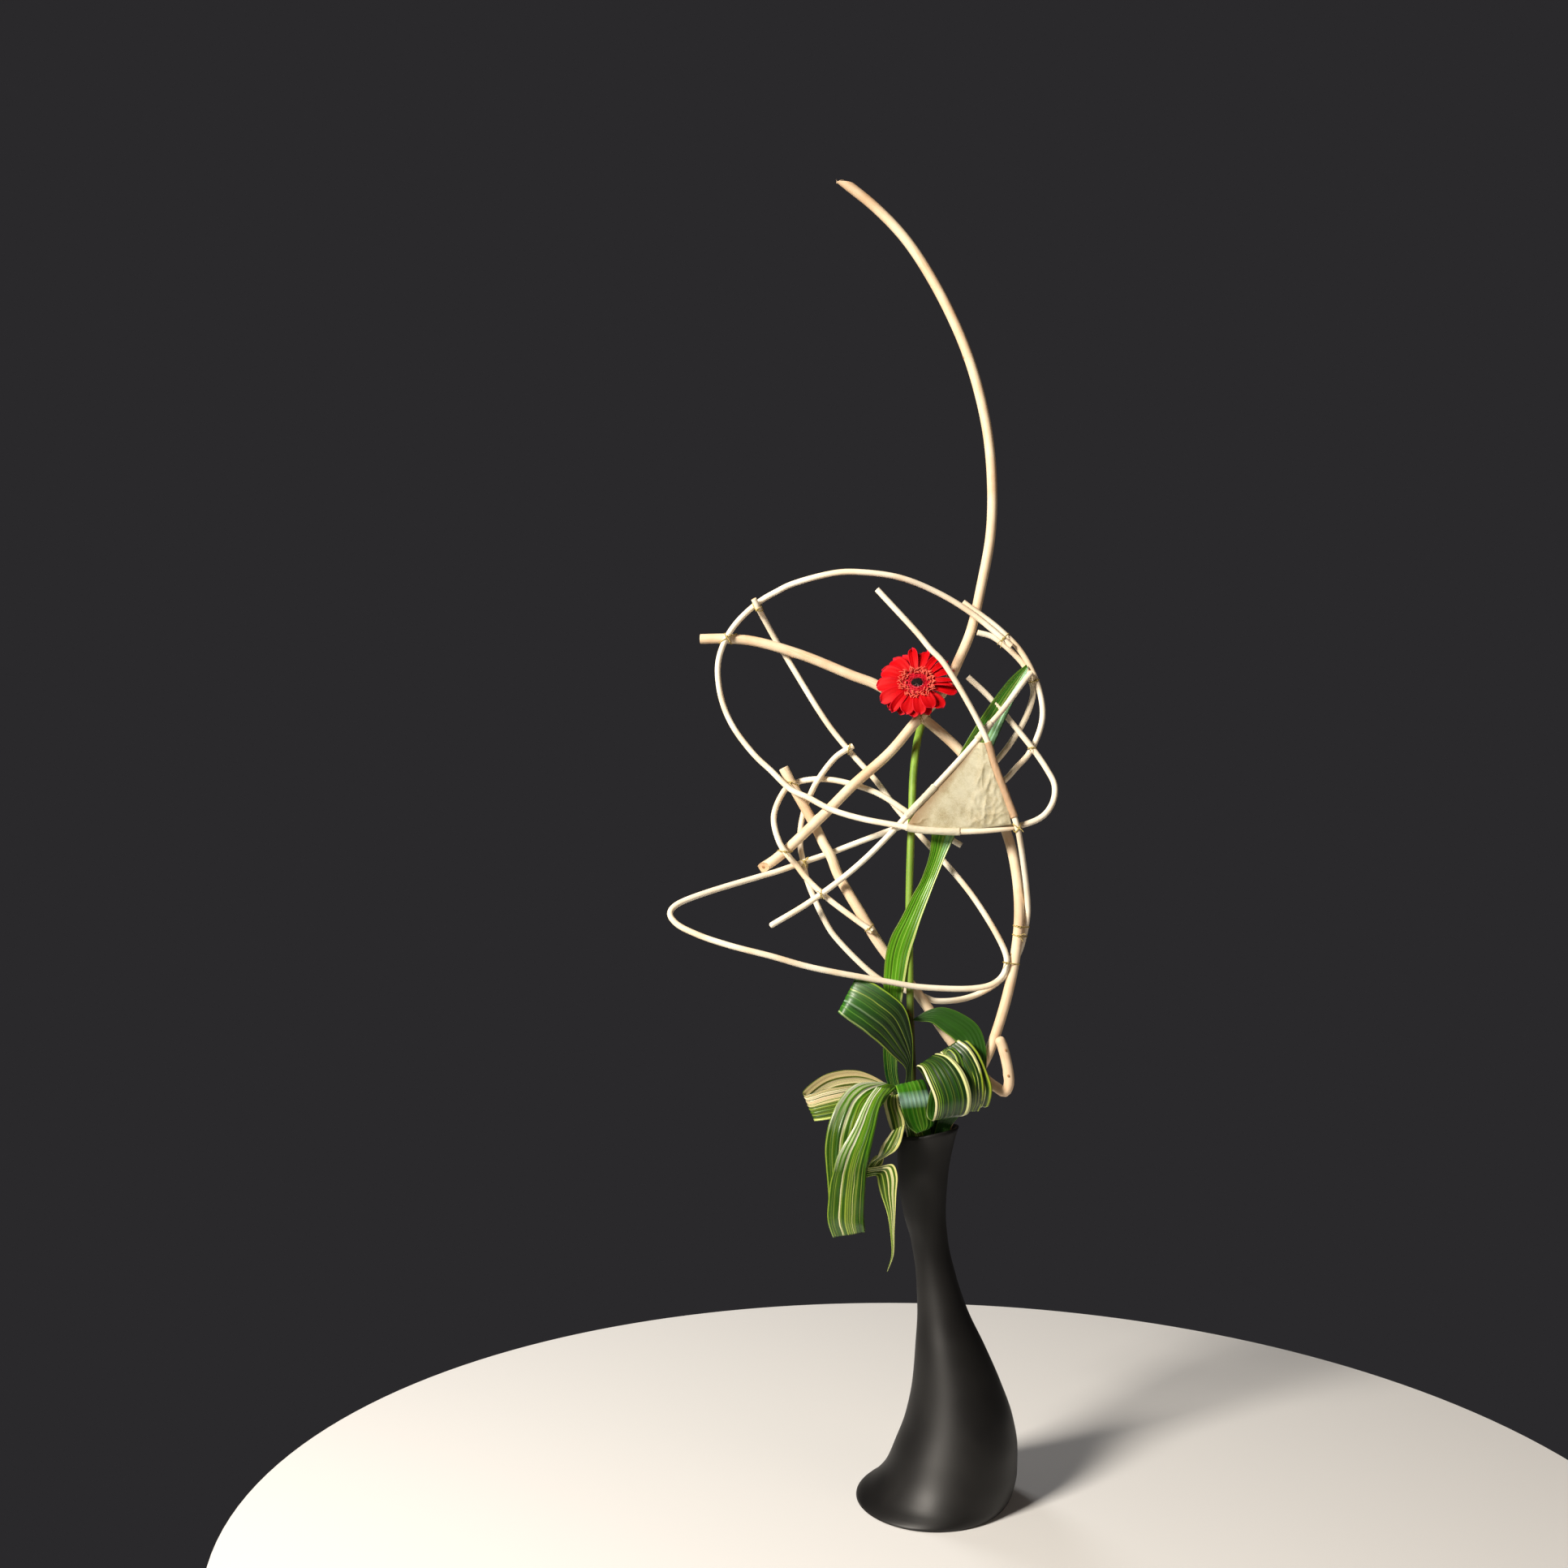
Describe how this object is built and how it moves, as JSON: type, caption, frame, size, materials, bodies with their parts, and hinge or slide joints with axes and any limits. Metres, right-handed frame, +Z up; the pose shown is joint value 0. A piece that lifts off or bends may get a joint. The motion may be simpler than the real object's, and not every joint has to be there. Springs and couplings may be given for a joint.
{
  "type": "ikebana arrangement",
  "caption": "Tall free-style ikebana: bent branches and peeled withies tied into an open cage with a red gerbera, a paper triangle and curled striped leaves, standing in a matte black vase.",
  "frame": {"origin": "middle of the vase's flat base, on the surface that it stands on", "axes": "+Z up through the vase, +X to the right as seen from the front, -Y towards the viewer"},
  "size_m": [0.3765, 0.172, 1.2872],
  "materials": {
    "peeled_wood": "matte",
    "twine": "matte",
    "leaf": "satin",
    "red_petal": "matte",
    "coral_floret": "matte",
    "dark_eye": "matte",
    "stem": "satin",
    "paper": "matte",
    "black_ceramic": "satin",
    "water": "gloss"
  },
  "bodies": {
    "root": {"branch_tall_arc": "peeled_wood", "branch_main_upright": "peeled_wood", "branch_hooked_brace": "peeled_wood", "withy_great_loop": "peeled_wood", "withy_teardrop": "peeled_wood", "withy_long_bow": "peeled_wood", "withy_diagonal": "peeled_wood", "withy_small_loop": "peeled_wood", "withy_inner_arc": "peeled_wood", "tie_top_splice": "twine", "tie_diagonal_end": "twine", "tie_right_cross": "twine", "tie_top_left": "twine", "tie_left_end": "twine", "tie_main_crossing": "twine", "tie_brace_head": "twine", "tie_loop_on_arc": "twine", "tie_bow_on_teardrop": "twine", "tie_loop_on_diagonal": "twine", "tie_loop_on_brace": "twine", "tie_bow_upper": "twine", "tie_bow_lower": "twine", "tie_teardrop_heel": "twine", "tie_triangle_corner": "twine", "tie_bow_end": "twine", "leaf_upright": "leaf", "leaf_left_loop": "leaf", "leaf_right_ring": "leaf", "leaf_rim_curl": "leaf", "leaf_left_fold": "leaf", "leaf_hanging": "leaf", "leaf_twisted": "leaf", "gerbera_ray_florets": "red_petal", "gerbera_disc_florets": "coral_floret", "gerbera_eye": "dark_eye", "gerbera_stem": "stem", "paper_triangle": "paper", "vase": "black_ceramic", "water": "water"}
  },
  "joints": []
}
